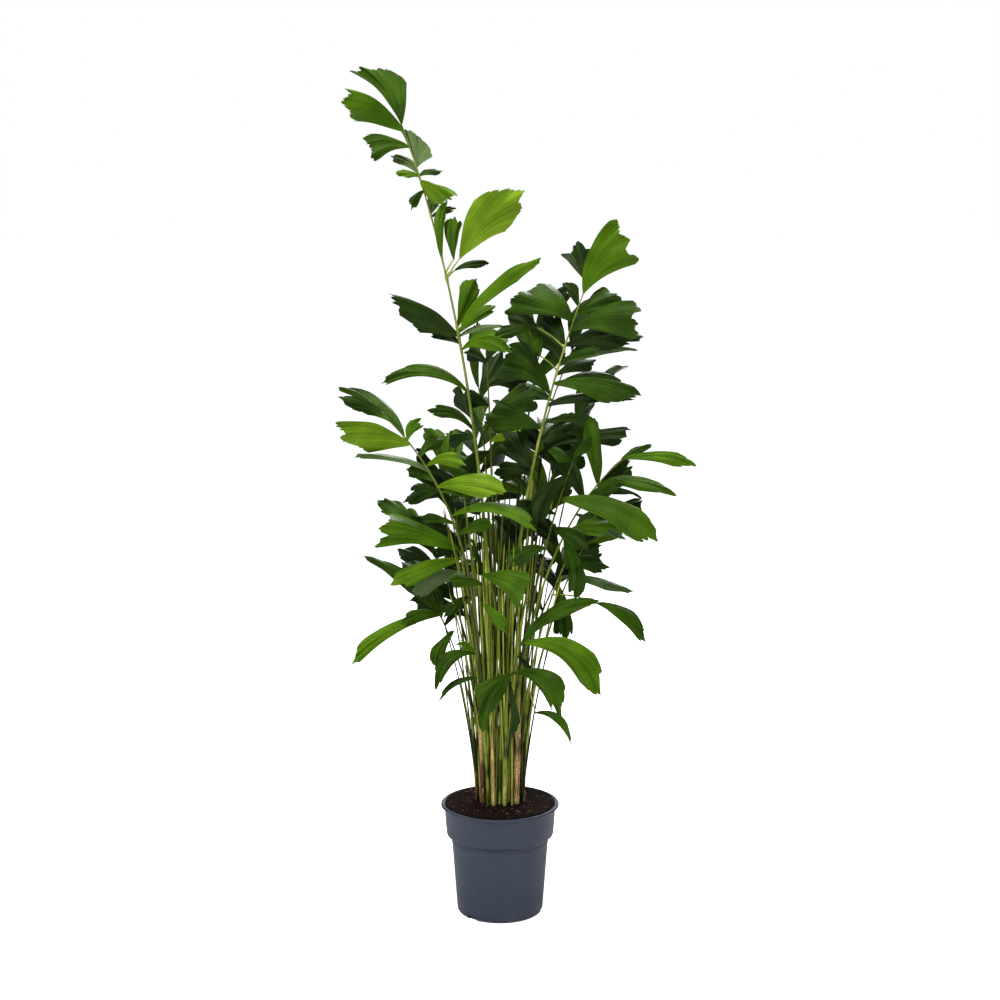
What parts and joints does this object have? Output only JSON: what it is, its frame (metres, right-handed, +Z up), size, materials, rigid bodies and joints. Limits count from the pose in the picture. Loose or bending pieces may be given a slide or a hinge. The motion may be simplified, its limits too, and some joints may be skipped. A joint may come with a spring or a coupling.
{
  "type": "potted fishtail palm",
  "caption": "Fishtail palm clump of slender sheathed shoots and tall fronds of jagged wedge-shaped leaflets, standing in a round tapered nursery pot filled with soil.",
  "frame": {"origin": "centre of the pot's flat underside", "axes": "+Z up, -Y toward the plant's fuller face, +X to the right of that face"},
  "size_m": [0.6989, 0.5229, 1.6897],
  "materials": {
    "pot_plastic": "satin",
    "potting_soil": "matte",
    "sheaths": "satin",
    "foliage": "satin"
  },
  "bodies": {
    "root": {"frond_back_left": "foliage", "frond_back_left_low": "foliage", "frond_back_right_tall": "foliage", "frond_back_tall": "foliage", "frond_back_upright": "foliage", "frond_behind_right": "foliage", "frond_curled_left": "foliage", "frond_far_left": "foliage", "frond_far_right": "foliage", "frond_front": "foliage", "frond_front_low": "foliage", "frond_heart": "foliage", "frond_left": "foliage", "frond_low_left": "foliage", "frond_low_right": "foliage", "frond_mid_left": "foliage", "frond_reaching_right": "foliage", "frond_rear": "foliage", "frond_rear_low": "foliage", "frond_rear_right": "foliage", "frond_rear_right_low": "foliage", "frond_right": "foliage", "frond_right_centre": "foliage", "frond_tall_left": "foliage", "frond_tall_right": "foliage", "pot": "pot_plastic", "shoot_back_left": "sheaths", "shoot_back_middle": "sheaths", "shoot_back_right": "sheaths", "shoot_edge_left": "sheaths", "shoot_edge_right": "sheaths", "shoot_far_right": "sheaths", "shoot_front_green": "sheaths", "shoot_front_left": "sheaths", "shoot_front_middle": "sheaths", "shoot_front_right": "sheaths", "shoot_front_slim": "sheaths", "shoot_heart": "sheaths", "shoot_heart_right": "sheaths", "shoot_middle_left": "sheaths", "shoot_middle_right": "sheaths", "shoot_stout_right": "sheaths", "shoot_tall_left": "sheaths", "shoot_tall_right": "sheaths", "soil": "potting_soil"}
  },
  "joints": []
}
